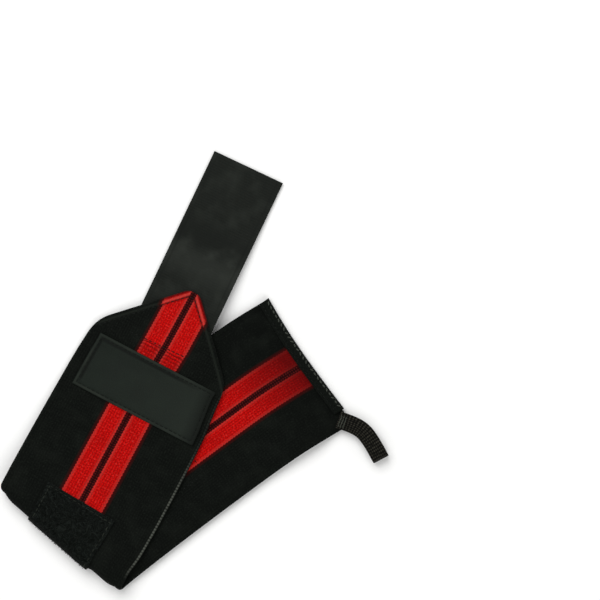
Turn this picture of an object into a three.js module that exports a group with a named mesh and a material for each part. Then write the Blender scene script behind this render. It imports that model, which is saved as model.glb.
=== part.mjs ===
// A weightlifting wrist wrap, lying folded once on a flat surface. Millimetres, +Z up.
// +Y runs along the upper layer towards the hook tab, and the front face of the strap is up there.
// Points of the strap are given on the flat pattern: along it from the tip, across it from its
// middle, and out from its mid-surface on the front face. place() folds and drapes them.
import * as THREE from "three";

// Driving dimensions, in millimetres, with angles in degrees.
const strap = { width: 76, length: 288.2, thick: 2, tipAngle: 45, tipRadius: 7, cornerRadius: 20 };
const selvedge = { edgeThick: 0.7, roundIn: 0.5, bead: 0.12, beadIn: 1.7, groove: 0.2, grooveIn: 3.3, fieldIn: 5 };
const stripe = { width: 9.3, gap: 3.6, raise: 0.2, edge: 0.35 };
const hookTab = { width: 37.7, exposed: 66.1, sewn: 31, thick: 1.6, turn: 2.95, aside: -2.7 };
const label = { width: 66, length: 28, thick: 0.9, fromTip: 38.4, turn: 0.8, aside: 1.2 };
const loopPatch = { width: 37, length: 103, thick: 1.4, fromTip: 115 };
const binding = { depth: 5.5, thick: 0.8, hollow: 2.2, hollowByLoop: 0.8 };
const thumbLoop = { width: 8.3, reach: 24.5, thick: 0.8, gap: 5.8, sewn: 5.5, insetAlong: 0.9, insetAcross: 1.1 };
const seam = 0.3; // clearance between pieces that are sewn to each other

// How the wrap lies.
const fold = {
  at: 138.3,
  skew: 12.9,
  gap: 3.2,
  settle: 28,
  edgePull: 1.5,
  edgeIn: 9,
  tuck: 0.9, // past one side of the loop patch the fold is this much tighter
  tuckIn: 1.2,
  tuckRun: 2.8,
};
const drape = { fall: 36, overhang: 0.5, tabEdge: 1.5, tabFade: 16 };
const arch = { height: 1.8, from: 0.66, peak: 0.84, crest: 0.86, to: 0.955 };

// The two layers are a little slack and bowed. The tables give shares of each layer's length, and
// of the strap's width: the upper layer from the tip to the fold, the lower one on to its end.
const upperLayer = [
  { along: 0, width: 0.975, drift: 0.012 },
  { along: 0.2, width: 0.977, drift: 0.011 },
  { along: 0.305, width: 0.954, drift: 0.004 },
  { along: 0.37, width: 0.971, drift: 0.005 },
  { along: 0.46, width: 0.993, drift: 0.01 },
  { along: 0.75, width: 1.012, drift: 0.01 },
  { along: 0.93, width: 1.004, drift: 0.007 },
  { along: 1, width: 0.98, drift: 0.002 },
];
const lowerLayer = [
  { along: 0, width: 0.98, drift: 0.002 },
  { along: 0.1, width: 0.965, drift: -0.01 },
  { along: 0.35, width: 0.952, drift: -0.02 },
  { along: 0.65, width: 0.948, drift: -0.026 },
  { along: 0.8, width: 0.954, drift: -0.026 },
  { along: 0.9, width: 0.961, drift: -0.016 },
  { along: 1, width: 0.963, drift: 0.001 },
];

// The thumb loop, from the corner of the bound end: shares of its reach, and how far it is
// turned from the end edge towards the strap's own direction.
const loopBend = [
  { along: 0, turned: 34 },
  { along: 0.16, turned: 27 },
  { along: 0.47, turned: 1 },
  { along: 0.8, turned: -7 },
  { along: 1, turned: -8 },
];

// Facet sizes.
const step = { along: 6, fine: 2.5, across: 6, bendFacets: 12, cornerFacets: 5 };

const black = { strap: 0x151716, tape: 0x232524, label: 0x26292a, elastic: 0x1b1c1b };

const radians = THREE.MathUtils.degToRad;
const smooth = (x, from, to) => THREE.MathUtils.smoothstep(x, from, to);

// Heights out from the strap's mid-surface, and heights of the mid-surface above the floor.
const half = strap.width / 2;

// The bound end is hollow: its corners stand further out than its middle, less so by the thumb loop.
const endCurve = (across) => (across < 0 ? binding.hollow : binding.hollowByLoop) * (across / half) ** 2;

const face = strap.thick / 2 + stripe.raise;
const onFace = face + seam;
const patchRest = onFace + loopPatch.thick;
const endRest = onFace + binding.thick;
const stacked = 2 * face + seam;
const tabLift = hookTab.thick + seam;

// The fold is a half turn of this mid-surface radius. Its line is skewed across the strap.
const bendRadius = (fold.gap + strap.thick) / 2;
const sinSkew = Math.sin(radians(fold.skew));
const cosSkew = Math.cos(radians(fold.skew));
const tanSkew = sinSkew / cosSkew;
const foldStart = fold.at - (bendRadius + strap.thick / 2) / cosSkew;
const bendLength = (Math.PI * bendRadius) / cosSkew;
const foldLine = new THREE.Vector2(cosSkew, -sinSkew);
const foldOut = new THREE.Vector2(-sinSkew, -cosSkew);
const lowerAlong = new THREE.Vector2(Math.sin(radians(2 * fold.skew)), Math.cos(radians(2 * fold.skew)));
const lowerAcross = new THREE.Vector2(lowerAlong.y, -lowerAlong.x);
const lowerLength = strap.length - foldStart - bendLength;

// A column of a table at a share, on a smooth curve through its rows.
function readTable(rows, column, share) {
  const curve = new THREE.CubicInterpolant(
    rows.map((row) => row.along),
    rows.map((row) => row[column]),
    1,
  );
  return curve.evaluate(THREE.MathUtils.clamp(share, 0, 1))[0];
}

// The share of the lower layer that is behind a plan point, counted from the fold's outer edge.
function shareOfLower(plan) {
  const fromFold = new THREE.Vector2(plan.x, plan.y + fold.at);
  return fromFold.dot(lowerAlong) / (lowerLength + bendRadius);
}

// Height of the lower layer's mid-surface. It lies on the loop patch, bows up and comes down
// to the floor on its bound end.
function lowerHeight(plan) {
  const share = shareOfLower(plan);
  const down = smooth(share, arch.crest, arch.to);
  const bow = smooth(share, arch.from, arch.peak) * (1 - down);
  return patchRest + (endRest - patchRest) * down + arch.height * bow;
}

// How much of the hook tab's thickness lies under the upper layer at a plan point.
function overTab(plan) {
  const beside = hookTab.width / 2 + drape.tabEdge;
  const behind = -hookTab.sewn - drape.tabEdge;
  const fromMiddle = Math.abs(plan.x - hookTab.aside + plan.y * Math.sin(radians(hookTab.turn)));
  const across = 1 - smooth(fromMiddle, beside, beside + drape.tabFade);
  return across * smooth(plan.y, behind - drape.tabFade, behind);
}

// Height of the upper layer's mid-surface. It lies on the lower layer, stands up at the fold,
// and falls to the floor past the lower layer's edge.
function upperHeight(plan) {
  const fromFold = new THREE.Vector2(plan.x, plan.y + fold.at);
  const beyond = -fromFold.dot(lowerAcross) - half - drape.overhang;
  const held = 1 - smooth(beyond, 0, drape.fall);
  const behindBend = -foldOut.dot(new THREE.Vector2(plan.x, plan.y + foldStart));
  const rise = (2 * bendRadius - stacked) * (1 - smooth(behindBend, 0, fold.settle));
  const resting = lowerHeight(plan) + stacked + rise;
  return face + held * (resting - face) + tabLift * overTab(plan);
}

// A point of the flat pattern, where it is on the folded and draped wrap.
function place(along, across, out) {
  const lowerShare = (along - foldStart - bendLength) / lowerLength;
  const [layer, share] = lowerShare > 0 ? [lowerLayer, lowerShare] : [upperLayer, along / foldStart];
  const spread = across * readTable(layer, "width", share) + strap.width * readTable(layer, "drift", share);
  const past = (along - foldStart) * cosSkew - spread * sinSkew;
  if (past <= 0) {
    const plan = new THREE.Vector2(spread, -along);
    return new THREE.Vector3(plan.x, plan.y, upperHeight(plan) + out);
  }
  const beside = (along - foldStart) * sinSkew + spread * cosSkew;
  const plan = new THREE.Vector2(0, -foldStart).addScaledVector(foldLine, beside);
  if (past < Math.PI * bendRadius) {
    const turn = past / bendRadius;
    const middle = (upperHeight(plan) + lowerHeight(plan)) / 2;
    const swing = (upperHeight(plan) - lowerHeight(plan)) / 2 + out;
    const patchEdge = loopPatch.width / 2;
    const tucked = fold.tuck * smooth(across, patchEdge - fold.tuckIn, patchEdge + fold.tuckRun);
    const pulled = fold.edgePull * smooth(Math.abs(across), half - fold.edgeIn, half) + tucked;
    plan.addScaledVector(foldOut, (bendRadius + out - pulled) * Math.sin(turn));
    return new THREE.Vector3(plan.x, plan.y, middle + swing * Math.cos(turn));
  }
  plan.addScaledVector(foldOut, Math.PI * bendRadius - past);
  return new THREE.Vector3(plan.x, plan.y, lowerHeight(plan) - out);
}

// Values from one number to another, no further apart than a step.
function spaced(from, to, most) {
  const count = Math.ceil((to - from) / most);
  return Array.from({ length: count + 1 }, (_, i) => from + ((to - from) * i) / count);
}

// Stations along the pattern between two lengths, with one for each facet of the bend.
function stations(from, to, most) {
  const bend = Array.from({ length: step.bendFacets + 1 }, (_, i) => foldStart + (bendLength * i) / step.bendFacets);
  if (to < foldStart) return spaced(from, to, most);
  return [
    ...spaced(from, foldStart, most).slice(0, -1),
    ...bend,
    ...spaced(foldStart + bendLength, to, most).slice(1),
  ];
}

// The slant of a station across the strap: none far from the fold, and the fold's skew at it.
function slant(station, across, fade) {
  const before = smooth(station, foldStart - step.along - fade, foldStart - step.along);
  const after = 1 - smooth(station, foldStart + bendLength + step.along, foldStart + bendLength + step.along + fade);
  return tanSkew * across * Math.min(before, after);
}

// A closed solid from a grid of rows and columns. point(row, column, side) gives its outer
// surface at side 1 and its inner one at side -1. Rows crossed with columns point outwards.
function gridSolid(rows, columns, point) {
  const positions = [];
  for (const side of [1, -1])
    for (const row of rows) for (const column of columns) positions.push(...point(row, column, side).toArray());
  const layer = rows.length * columns.length;
  const at = (r, c, side) => r * columns.length + c + (side === 1 ? 0 : layer);
  const index = [];
  const quad = (a, b, c, d) => index.push(a, b, c, a, c, d);
  const lastRow = rows.length - 1;
  const lastColumn = columns.length - 1;
  for (let r = 0; r < lastRow; r++) {
    for (let c = 0; c < lastColumn; c++) {
      quad(at(r, c, 1), at(r + 1, c, 1), at(r + 1, c + 1, 1), at(r, c + 1, 1));
      quad(at(r, c, -1), at(r, c + 1, -1), at(r + 1, c + 1, -1), at(r + 1, c, -1));
    }
    quad(at(r, 0, 1), at(r, 0, -1), at(r + 1, 0, -1), at(r + 1, 0, 1));
    quad(at(r, lastColumn, 1), at(r + 1, lastColumn, 1), at(r + 1, lastColumn, -1), at(r, lastColumn, -1));
  }
  for (let c = 0; c < lastColumn; c++) {
    quad(at(0, c, 1), at(0, c + 1, 1), at(0, c + 1, -1), at(0, c, -1));
    quad(at(lastRow, c, 1), at(lastRow, c, -1), at(lastRow, c + 1, -1), at(lastRow, c + 1, 1));
  }
  const geometry = new THREE.BufferGeometry();
  geometry.setAttribute("position", new THREE.Float32BufferAttribute(positions, 3));
  geometry.setIndex(index);
  geometry.computeVertexNormals();
  return geometry;
}

function piece(name, geometry, color, roughness) {
  const mesh = new THREE.Mesh(geometry, new THREE.MeshStandardMaterial({ color, roughness, metalness: 0 }));
  mesh.name = name;
  return mesh;
}

// The strap's pointed end: a V with a rounded tip and rounded shoulders, then the full width.
const tip = (() => {
  const angle = radians(strap.tipAngle);
  const apex = strap.tipRadius - strap.tipRadius / Math.sin(angle);
  const shoulder = apex + half / Math.tan(angle) + strap.cornerRadius * Math.tan(angle / 2);
  return {
    apex,
    shoulder,
    slope: Math.tan(angle),
    roundEnd: strap.tipRadius * (1 - Math.sin(angle)),
    cornerStart: shoulder - strap.cornerRadius * Math.sin(angle),
  };
})();

function halfWidth(along) {
  if (along < tip.roundEnd) return Math.sqrt(strap.tipRadius ** 2 - (strap.tipRadius - along) ** 2);
  if (along < tip.cornerStart) return (along - tip.apex) * tip.slope;
  if (along < tip.shoulder)
    return half - strap.cornerRadius + Math.sqrt(strap.cornerRadius ** 2 - (tip.shoulder - along) ** 2);
  return half;
}

// Columns of the strap from its middle to its edge. Those with an inset are counted in from the
// edge. thick is half the thickness there: the stripes stand proud, and the selvedge is a
// rounded bead behind a groove.
const bare = strap.thick / 2;
const stripeIn = stripe.gap / 2;
const stripeOut = stripeIn + stripe.width;
const strapColumns = [
  { across: 0, thick: bare },
  { across: stripeIn, thick: bare },
  { across: stripeIn + stripe.edge, thick: face },
  { across: stripeOut - stripe.edge, thick: face },
  { across: stripeOut, thick: bare },
  ...spaced(stripeOut, half - selvedge.fieldIn, step.across)
    .slice(1, -1)
    .map((across) => ({ across, thick: bare })),
  { inset: selvedge.fieldIn, thick: bare },
  { inset: selvedge.grooveIn, thick: bare - selvedge.groove },
  { inset: selvedge.beadIn, thick: bare + selvedge.bead },
  { inset: selvedge.roundIn, thick: bare - selvedge.bead },
  { inset: 0, thick: selvedge.edgeThick / 2 },
];
const leastGap = 0.25;

// How far across each column lies at a station. Near the tip the edge pushes them inwards.
function columnsAt(along) {
  const edge = halfWidth(along);
  const squeeze = Math.min(1, edge / (2 * selvedge.fieldIn));
  const found = strapColumns.map((column) => ("inset" in column ? edge - column.inset * squeeze : column.across));
  for (let i = found.length - 2; i >= 0; i--)
    found[i] = Math.min(found[i], found[i + 1] - Math.min(leastGap, edge / (2 * found.length)));
  found[0] = 0;
  return found;
}

function strapGeometry() {
  const firstCut = tip.roundEnd / 8;
  const rows = [
    ...spaced(firstCut, tip.roundEnd, tip.roundEnd / 4),
    ...spaced(tip.roundEnd, tip.cornerStart, step.along).slice(1),
    ...spaced(tip.cornerStart, tip.shoulder, (tip.shoulder - tip.cornerStart) / step.cornerFacets).slice(1),
    ...stations(tip.shoulder, strap.length, step.along).slice(1),
  ].map((along) => ({ along, columns: columnsAt(along) }));
  const count = strapColumns.length;
  const columns = Array.from({ length: 2 * count - 1 }, (_, i) => i - count + 1);
  return gridSolid(rows, columns, (row, column, side) => {
    const n = Math.abs(column);
    const across = Math.sign(column) * row.columns[n];
    const end = endCurve(across) * smooth(row.along, strap.length - half, strap.length);
    const along = row.along + slant(row.along, across, half) + end;
    return place(along, across, side * strapColumns[n].thick);
  });
}

// A flat piece sewn to the strap: a rectangle of the pattern, turned about a point of it.
function sewnGeometry({ from, to, width, inner, outer, turn = 0, aside = 0, pivot = from, fade = 0 }) {
  const columns = spaced(-width / 2, width / 2, step.across);
  const cos = Math.cos(radians(turn));
  const sin = Math.sin(radians(turn));
  return gridSolid(stations(from, to, step.along), columns, (row, column, side) => {
    const skewed = fade ? slant(row, column, fade) : 0;
    const along = pivot + (row - pivot) * cos - column * sin + skewed;
    const across = aside + (row - pivot) * sin + column * cos;
    return place(along, across, side === 1 ? outer : inner);
  });
}

// The tape that binds the end: folded over it, and stopping at the thumb loop's root.
function bindingGeometry(rootAcross) {
  const outer = onFace + binding.thick;
  const endOut = seam + binding.thick;
  const flap = endOut - binding.depth;
  const section = [
    { inner: [flap, onFace], outer: [flap, outer] },
    { inner: [0, onFace], outer: [endOut / 2, outer] },
    { inner: [seam, face], outer: [endOut * 0.9, face] },
    { inner: [seam, 0], outer: [endOut, 0] },
    { inner: [seam, -face], outer: [endOut * 0.9, -face] },
    { inner: [0, -onFace], outer: [endOut / 2, -outer] },
    { inner: [flap, -onFace], outer: [flap, -outer] },
  ];
  const columns = spaced(-half, rootAcross, step.across);
  return gridSolid(section, columns, (part, across, side) => {
    const [along, out] = side === 1 ? part.outer : part.inner;
    return place(strap.length + endCurve(across) + along, across, out);
  });
}

// Plan points of the thumb loop's middle line, one for each distance from its root.
function loopPath(distances) {
  const start = place(strap.length - thumbLoop.insetAlong, half - thumbLoop.insetAcross, 0);
  const grain = thumbLoop.reach / 200;
  const walk = (target) => {
    const at = new THREE.Vector2(start.x, start.y);
    const heading = new THREE.Vector2();
    const steps = Math.max(1, Math.round(Math.abs(target) / grain));
    for (let i = 0; i < steps; i++) {
      const done = (target * (i + 0.5)) / steps;
      const turned = radians(readTable(loopBend, "turned", done / thumbLoop.reach));
      heading.copy(lowerAcross).multiplyScalar(Math.cos(turned));
      heading.addScaledVector(lowerAlong, Math.sin(turned));
      at.addScaledVector(heading, target / steps);
    }
    return { at, heading: heading.clone() };
  };
  return distances.map(walk);
}

// The thumb loop: a band whose ends straddle the strap's corner, one on each face.
function thumbLoopGeometry() {
  const middle = thumbLoop.thick / 2;
  const rootHeight = endRest + onFace + middle;
  const turnRadius = (thumbLoop.gap + thumbLoop.thick) / 2;
  const turnAt = thumbLoop.reach - turnRadius - middle;
  const topHeight = middle + 2 * turnRadius;
  const legs = spaced(-thumbLoop.sewn, turnAt, step.fine);
  const line = [
    ...legs.map((d) => {
      const lifted = smooth(d, thumbLoop.insetAcross * 2, turnAt);
      return { distance: d, height: rootHeight + (topHeight - rootHeight) * lifted };
    }),
    ...spaced(0, Math.PI, Math.PI / step.bendFacets)
      .slice(1, -1)
      .map((turn) => ({
        distance: turnAt + turnRadius * Math.sin(turn),
        height: middle + turnRadius * (1 + Math.cos(turn)),
      })),
    ...legs.reverse().map((d) => ({ distance: d, height: middle })),
  ];
  const path = loopPath(line.map((row) => row.distance));
  const rows = line.map((row, i) => {
    const before = line[Math.max(0, i - 1)];
    const after = line[Math.min(line.length - 1, i + 1)];
    const run = new THREE.Vector2(after.distance - before.distance, after.height - before.height).normalize();
    return { ...path[i], height: row.height, run };
  });
  const edges = [-thumbLoop.width / 2, 0, thumbLoop.width / 2];
  return gridSolid(rows, edges, ({ at, heading, height, run }, across, side) => {
    const out = side * middle;
    const x = at.x - heading.y * across - heading.x * run.y * out;
    const y = at.y + heading.x * across - heading.y * run.y * out;
    return new THREE.Vector3(x, y, height + run.x * out);
  });
}

function wristWrap() {
  const group = new THREE.Group();
  group.add(piece("elastic_strap", strapGeometry(), black.strap, 0.9));
  group.add(
    piece(
      "hook_tab",
      sewnGeometry({
        from: -hookTab.exposed,
        to: hookTab.sewn,
        width: hookTab.width,
        inner: -onFace - hookTab.thick,
        outer: -onFace,
        turn: hookTab.turn,
        aside: hookTab.aside,
        pivot: 0,
      }),
      black.tape,
      0.7,
    ),
  );
  group.add(
    piece(
      "label_patch",
      sewnGeometry({
        from: label.fromTip,
        to: label.fromTip + label.length,
        width: label.width,
        inner: onFace,
        outer: onFace + label.thick,
        turn: label.turn,
        aside: label.aside,
        pivot: label.fromTip + label.length / 2,
      }),
      black.label,
      0.6,
    ),
  );
  group.add(
    piece(
      "loop_patch",
      sewnGeometry({
        from: loopPatch.fromTip,
        to: loopPatch.fromTip + loopPatch.length,
        width: loopPatch.width,
        inner: onFace,
        outer: onFace + loopPatch.thick,
        fade: loopPatch.width / 2,
      }),
      black.tape,
      0.95,
    ),
  );
  const rootTurn = radians(loopBend[0].turned);
  const rootReach = thumbLoop.sewn * Math.cos(rootTurn) + (thumbLoop.width / 2) * Math.sin(rootTurn);
  const rootAcross = half - thumbLoop.insetAcross - (rootReach + seam) / lowerLayer.at(-1).width;
  group.add(piece("end_binding", bindingGeometry(rootAcross), black.elastic, 0.85));
  group.add(piece("thumb_loop", thumbLoopGeometry(), black.elastic, 0.85));

  // The origin is the middle of the wrap's footprint, on the floor.
  const box = new THREE.Box3().setFromObject(group);
  group.position.set(-(box.min.x + box.max.x) / 2, -(box.min.y + box.max.y) / 2, -box.min.z);
  return group;
}

export default wristWrap();
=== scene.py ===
import math
import random

import bmesh
import bpy
from mathutils import Matrix, Vector


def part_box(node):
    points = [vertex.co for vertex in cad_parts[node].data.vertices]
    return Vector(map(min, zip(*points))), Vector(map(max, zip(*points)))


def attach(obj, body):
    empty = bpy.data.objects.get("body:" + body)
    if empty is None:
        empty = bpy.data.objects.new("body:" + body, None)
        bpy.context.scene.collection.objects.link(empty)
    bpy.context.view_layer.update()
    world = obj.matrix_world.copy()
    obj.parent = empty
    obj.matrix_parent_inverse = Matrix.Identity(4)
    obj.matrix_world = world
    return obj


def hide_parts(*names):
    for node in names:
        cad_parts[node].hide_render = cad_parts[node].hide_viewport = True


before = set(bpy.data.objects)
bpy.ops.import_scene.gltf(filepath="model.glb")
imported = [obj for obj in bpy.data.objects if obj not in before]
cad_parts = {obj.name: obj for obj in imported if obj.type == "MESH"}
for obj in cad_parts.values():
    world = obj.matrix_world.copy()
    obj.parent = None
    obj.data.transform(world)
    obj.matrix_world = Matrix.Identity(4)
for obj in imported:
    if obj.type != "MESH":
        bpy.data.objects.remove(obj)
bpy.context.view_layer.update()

random.seed(7)
millimetre = 0.001

strap = {
    "width": 76.0,
    "length": 288.2,
    "thick": 2.0,
    "tipAngle": 45.0,
    "tipRadius": 7.0,
    "cornerRadius": 20.0,
    "beadIn": 1.7,  # the selvedge's rounded rib, and the groove behind it
    "grooveIn": 3.3,
    "fieldIn": 5.0,
    "stripeGap": 3.6,
    "stripeWidth": 9.3,
    "stripeRaise": 0.2,
    "endHollow": 2.2,  # the far end's corners stand this much further out than its middle
    "endHollowByLoop": 0.8,
    "turnedUnder": 8.0,  # cloth folded back behind the pointed end
    "rowStep": 1.5,
    "columnStep": 1.3,
}
lay = {
    "foldAt": 138.3,
    "foldSkew": 12.9,
    "foldGap": 3.2,
    "foldSettle": 28.0,
    "edgePull": 1.5,
    "edgeIn": 9.0,
    "tuck": 0.9,  # past one side of the loop patch the fold is this much tighter
    "tuckIn": 1.2,
    "tuckRun": 2.8,
    "fall": 36.0,
    "overhang": 0.5,
    "tabEdge": 1.5,
    "tabFade": 16.0,
    "archHeight": 1.8,
    "archFrom": 0.66,
    "archPeak": 0.84,
    "archCrest": 0.86,
    "archTo": 0.955,
    "seam": 0.3,
}
# Shares of each layer's length, then of the strap's width: its width there, and its drift sideways.
upperLayer = [
    (0, 0.975, 0.012),
    (0.2, 0.977, 0.011),
    (0.305, 0.954, 0.004),
    (0.37, 0.971, 0.005),
    (0.46, 0.993, 0.01),
    (0.75, 1.012, 0.01),
    (0.93, 1.004, 0.007),
    (1, 0.98, 0.002),
]
lowerLayer = [
    (0, 0.98, 0.002),
    (0.1, 0.965, -0.01),
    (0.35, 0.952, -0.02),
    (0.65, 0.948, -0.026),
    (0.8, 0.954, -0.026),
    (0.9, 0.961, -0.016),
    (1, 0.963, 0.001),
]
hookTab = {
    "width": 37.7,
    "exposed": 66.1,
    "sewn": 31.0,
    "thick": 1.6,
    "backing": 0.7,
    "turn": 2.95,
    "aside": -2.7,
    "hookPitch": 1.9,
    "hookWire": 0.13,
    "step": 1.6,
}
label = {"width": 66.0, "length": 28.0, "thick": 0.9, "fromTip": 38.4, "turn": 0.8, "aside": 1.2, "step": 1.2}
loopPatch = {
    "width": 37.0,
    "length": 103.0,
    "thick": 1.4,
    "backing": 0.6,
    "fromTip": 115.0,
    "pilePitch": 1.15,
    "pileYarn": 0.1,
    "step": 1.6,
}
binding = {"depth": 5.5, "thick": 0.8, "step": 1.4}
thumbLoop = {
    "width": 8.3,
    "reach": 24.5,
    "thick": 0.8,
    "gap": 5.8,
    "sewn": 5.5,
    "insetAlong": 0.9,
    "insetAcross": 1.1,
    "step": 0.9,
}
# Shares of the thumb loop's reach, and its turn in degrees from the bound end's own line.
loopBend = [(0, 34), (0.16, 27), (0.47, 1), (0.8, -7), (1, -8)]


def smooth(value, low, high):
    t = min(max((value - low) / (high - low), 0.0), 1.0)
    return t * t * (3 - 2 * t)


def bump(value, centre, width):
    return math.exp(-(((value - centre) / width) ** 2))


# A row of a table at a share: a smooth curve through its rows.
def readTable(rows, column, share):
    share = min(max(share, rows[0][0]), rows[-1][0])
    i = max(n for n in range(len(rows) - 1) if rows[n][0] <= share)
    x0, x1 = rows[i][0], rows[i + 1][0]
    y0, y1 = rows[i][column], rows[i + 1][column]

    def slope(n):
        low, high = rows[max(n - 1, 0)], rows[min(n + 1, len(rows) - 1)]
        return (high[column] - low[column]) / (high[0] - low[0])

    t = (share - x0) / (x1 - x0)
    start, end = slope(i) * (x1 - x0), slope(i + 1) * (x1 - x0)
    return (
        (2 * t**3 - 3 * t**2 + 1) * y0
        + (t**3 - 2 * t**2 + t) * start
        + (3 * t**2 - 2 * t**3) * y1
        + (t**3 - t**2) * end
    )


# Heights out from the strap's mid-surface, and of the mid-surface over the floor.
half = strap["width"] / 2
face = strap["thick"] / 2 + strap["stripeRaise"]
onFace = face + lay["seam"]
patchRest = onFace + loopPatch["thick"]
endRest = onFace + binding["thick"]
stacked = 2 * face + lay["seam"]
tabLift = hookTab["thick"] + lay["seam"]

# The fold: half a turn about a line that is skewed across the strap.
bendRadius = (lay["foldGap"] + strap["thick"]) / 2
skew = math.radians(lay["foldSkew"])
foldStart = lay["foldAt"] - (bendRadius + strap["thick"] / 2) / math.cos(skew)
bendLength = math.pi * bendRadius / math.cos(skew)
foldLine = Vector((math.cos(skew), -math.sin(skew)))
foldOut = Vector((-math.sin(skew), -math.cos(skew)))
lowerAlong = Vector((math.sin(2 * skew), math.cos(2 * skew)))
lowerAcross = Vector((lowerAlong.y, -lowerAlong.x))
lowerLength = strap["length"] - foldStart - bendLength


def lowerHeight(plan):
    share = (plan - Vector((0, -lay["foldAt"]))).dot(lowerAlong) / (lowerLength + bendRadius)
    down = smooth(share, lay["archCrest"], lay["archTo"])
    bow = smooth(share, lay["archFrom"], lay["archPeak"]) * (1 - down)
    return patchRest + (endRest - patchRest) * down + lay["archHeight"] * bow


def overTab(plan):
    beside = hookTab["width"] / 2 + lay["tabEdge"]
    behind = -hookTab["sewn"] - lay["tabEdge"]
    fromMiddle = abs(plan.x - hookTab["aside"] + plan.y * math.sin(math.radians(hookTab["turn"])))
    across = 1 - smooth(fromMiddle, beside, beside + lay["tabFade"])
    return across * smooth(plan.y, behind - lay["tabFade"], behind)


def upperHeight(plan):
    beyond = -(plan - Vector((0, -lay["foldAt"]))).dot(lowerAcross) - half - lay["overhang"]
    held = 1 - smooth(beyond, 0, lay["fall"])
    behindBend = -foldOut.dot(plan - Vector((0, -foldStart)))
    rise = (2 * bendRadius - stacked) * (1 - smooth(behindBend, 0, lay["foldSettle"]))
    resting = lowerHeight(plan) + stacked + rise
    return face + held * (resting - face) + tabLift * overTab(plan)


# Where a point of the flat pattern is on the folded wrap, in millimetres from the tip.
def place(across, along, out):
    lowerShare = (along - foldStart - bendLength) / lowerLength
    layer, share = (lowerLayer, lowerShare) if lowerShare > 0 else (upperLayer, along / foldStart)
    spread = across * readTable(layer, 1, share) + strap["width"] * readTable(layer, 2, share)
    past = (along - foldStart) * math.cos(skew) - spread * math.sin(skew)
    if past <= 0:
        plan = Vector((spread, -along))
        return Vector((plan.x, plan.y, upperHeight(plan) + out))
    beside = (along - foldStart) * math.sin(skew) + spread * math.cos(skew)
    plan = Vector((0, -foldStart)) + foldLine * beside
    if past < math.pi * bendRadius:
        turn = past / bendRadius
        middle = (upperHeight(plan) + lowerHeight(plan)) / 2
        swing = (upperHeight(plan) - lowerHeight(plan)) / 2 + out
        patchEdge = loopPatch["width"] / 2
        tucked = lay["tuck"] * smooth(across, patchEdge - lay["tuckIn"], patchEdge + lay["tuckRun"])
        pulled = lay["edgePull"] * smooth(abs(across), half - lay["edgeIn"], half) + tucked
        plan = plan + foldOut * ((bendRadius + out - pulled) * math.sin(turn))
        return Vector((plan.x, plan.y, middle + swing * math.cos(turn)))
    plan = plan + foldOut * (math.pi * bendRadius - past)
    return Vector((plan.x, plan.y, lowerHeight(plan) - out))


# Flat cloth.
def spaced(low, high, most):
    count = max(1, math.ceil((high - low) / most))
    return [low + (high - low) * i / count for i in range(count + 1)]


# Rows follow the skewed fold near it, and run straight across far from it.
def slant(along, across, fade):
    before = smooth(along, foldStart - 6 - fade, foldStart - 6)
    after = 1 - smooth(along, foldStart + bendLength + 6, foldStart + bendLength + 6 + fade)
    return math.tan(skew) * across * min(before, after)


def stations(low, high, most):
    if high < foldStart:
        return spaced(low, high, most)
    bend = spaced(foldStart, foldStart + bendLength, bendLength / 24)
    return spaced(low, foldStart, most)[:-1] + bend + spaced(foldStart + bendLength, high, most)[1:]


# A flat sheet as a grid. columnsAt gives where the columns cross a row.
def cutSheet(rows, columnsAt, fade=0.0):
    crossings = [columnsAt(row) for row in rows]
    count = len(crossings[0])
    bm = bmesh.new()
    bmesh.ops.create_grid(bm, x_segments=count - 1, y_segments=len(rows) - 1, size=0.5)
    for vert in bm.verts:
        column = round((vert.co.x + 0.5) * (count - 1))
        row = round((vert.co.y + 0.5) * (len(rows) - 1))
        across = crossings[row][column]
        vert.co = (across, rows[row] + (slant(rows[row], across, fade) if fade else 0), 0)
    return bm


# Gives a flat sheet two faces, with its rim between them. low and high give their heights.
def thicken(bm, low, high):
    raised = bmesh.ops.extrude_face_region(bm, geom=bm.faces[:])["geom"]
    for item in raised:
        if isinstance(item, bmesh.types.BMVert):
            item.co.z = 1
    bmesh.ops.recalc_face_normals(bm, faces=bm.faces[:])
    for vert in bm.verts:
        rule = high if vert.co.z > 0.5 else low
        vert.co.z = rule(vert.co.x, vert.co.y)


def roundRim(bm, offset):
    sharp = [e for e in bm.edges if len(e.link_faces) == 2 and e.calc_face_angle() > math.radians(50)]
    bmesh.ops.bevel(
        bm, geom=sharp, offset=offset, segments=2, profile=0.5, affect="EDGES", material=-1, clamp_overlap=True
    )


# Keeps the flat pattern as UV, in decimetres, for the weaves to follow.
def keepPattern(bm):
    layer = bm.loops.layers.uv.new("pattern")
    for part in bm.faces:
        for loop in part.loops:
            loop[layer].uv = (loop.vert.co.x / 100, loop.vert.co.y / 100)


# Folds a sewn piece as the wrap lies. The pattern's y runs down the plan, so its faces turn over.
def foldUp(bm, mapping=place):
    for vert in bm.verts:
        vert.co = mapping(*vert.co)
    bmesh.ops.reverse_faces(bm, faces=bm.faces[:])


# The CAD frame has its origin under the middle of the wrap; the pattern has it at the tip.
low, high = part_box("elastic_strap")
origin = Vector((0, 0, 0))


def finishPiece(bm, name, material, node=None):
    for vert in bm.verts:
        vert.co = (vert.co + origin) * millimetre
    for part in bm.faces:
        part.smooth = True
    mesh = bpy.data.meshes.new(name)
    bm.to_mesh(mesh)
    bm.free()
    piece = bpy.data.objects.new(name, mesh)
    bpy.context.collection.objects.link(piece)
    mesh.materials.append(material)
    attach(piece, "root")
    if node:
        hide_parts(node)
    print("made", name, len(mesh.polygons), "faces")
    return piece


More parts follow.
